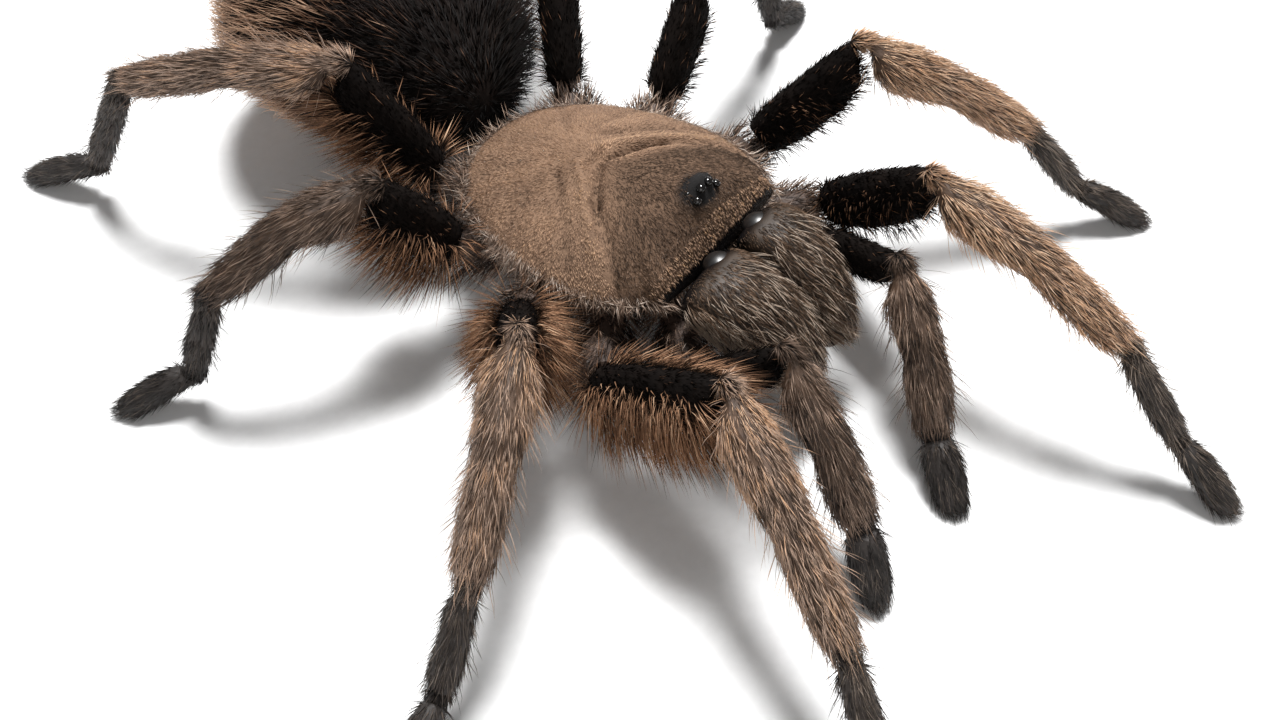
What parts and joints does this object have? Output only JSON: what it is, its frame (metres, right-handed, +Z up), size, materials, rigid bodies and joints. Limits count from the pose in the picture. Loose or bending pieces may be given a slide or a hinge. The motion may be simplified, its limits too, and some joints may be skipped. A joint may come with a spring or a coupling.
{
  "type": "mounted tarantula specimen",
  "caption": "Dry tarantula specimen standing on its own feet, with hairy carapace, jaws, palps, arched legs and a rounded abdomen; each limb part is its own solid.",
  "frame": {"origin": "middle of the footprint's bounding box, on the surface the feet stand on", "axes": "+Z up, -Y the way the spider faces, +X its left side"},
  "size_m": [0.0886, 0.104, 0.0241],
  "materials": {
    "carapace_velvet": "short velvet, matt",
    "underside_skin": "dry skin, matt",
    "abdomen_hair": "long hair, matt",
    "jaw_hair": "fine hair, matt",
    "fang_horn": "hard and glossy",
    "spinneret_skin": "short hair, matt",
    "coxa_hair": "short pale hair, matt",
    "femur_hair": "short dark hair, matt",
    "leg_tan_hair": "tan hair, matt",
    "metatarsus_hair": "dark hair, matt",
    "foot_hair": "dense dark pad hair, matt"
  },
  "bodies": {
    "root": {"abdomen": "abdomen_hair", "carapace": "carapace_velvet", "chelicera_left": "jaw_hair", "chelicera_right": "jaw_hair", "fang_left": "fang_horn", "fang_right": "fang_horn", "leg_1_left_coxa": "coxa_hair", "leg_1_left_femur": "femur_hair", "leg_1_left_metatarsus": "metatarsus_hair", "leg_1_left_patella_tibia": "leg_tan_hair", "leg_1_left_tarsus": "foot_hair", "leg_1_right_coxa": "coxa_hair", "leg_1_right_femur": "femur_hair", "leg_1_right_metatarsus": "metatarsus_hair", "leg_1_right_patella_tibia": "leg_tan_hair", "leg_1_right_tarsus": "foot_hair", "leg_2_left_coxa": "coxa_hair", "leg_2_left_femur": "femur_hair", "leg_2_left_metatarsus": "metatarsus_hair", "leg_2_left_patella_tibia": "leg_tan_hair", "leg_2_left_tarsus": "foot_hair", "leg_2_right_coxa": "coxa_hair", "leg_2_right_femur": "femur_hair", "leg_2_right_metatarsus": "metatarsus_hair", "leg_2_right_patella_tibia": "leg_tan_hair", "leg_2_right_tarsus": "foot_hair", "leg_3_left_coxa": "coxa_hair", "leg_3_left_femur": "femur_hair", "leg_3_left_metatarsus": "metatarsus_hair", "leg_3_left_patella_tibia": "leg_tan_hair", "leg_3_left_tarsus": "foot_hair", "leg_3_right_coxa": "coxa_hair", "leg_3_right_femur": "femur_hair", "leg_3_right_metatarsus": "metatarsus_hair", "leg_3_right_patella_tibia": "leg_tan_hair", "leg_3_right_tarsus": "foot_hair", "leg_4_left_coxa": "coxa_hair", "leg_4_left_femur": "femur_hair", "leg_4_left_metatarsus": "metatarsus_hair", "leg_4_left_patella_tibia": "leg_tan_hair", "leg_4_left_tarsus": "foot_hair", "leg_4_right_coxa": "coxa_hair", "leg_4_right_femur": "femur_hair", "leg_4_right_metatarsus": "metatarsus_hair", "leg_4_right_patella_tibia": "leg_tan_hair", "leg_4_right_tarsus": "foot_hair", "palp_left_coxa": "coxa_hair", "palp_left_femur": "femur_hair", "palp_left_patella_tibia": "leg_tan_hair", "palp_left_tarsus": "foot_hair", "palp_right_coxa": "coxa_hair", "palp_right_femur": "femur_hair", "palp_right_patella_tibia": "leg_tan_hair", "palp_right_tarsus": "foot_hair", "pedicel": "underside_skin", "spinneret_left": "spinneret_skin", "spinneret_right": "spinneret_skin", "sternum": "underside_skin"}
  },
  "joints": []
}
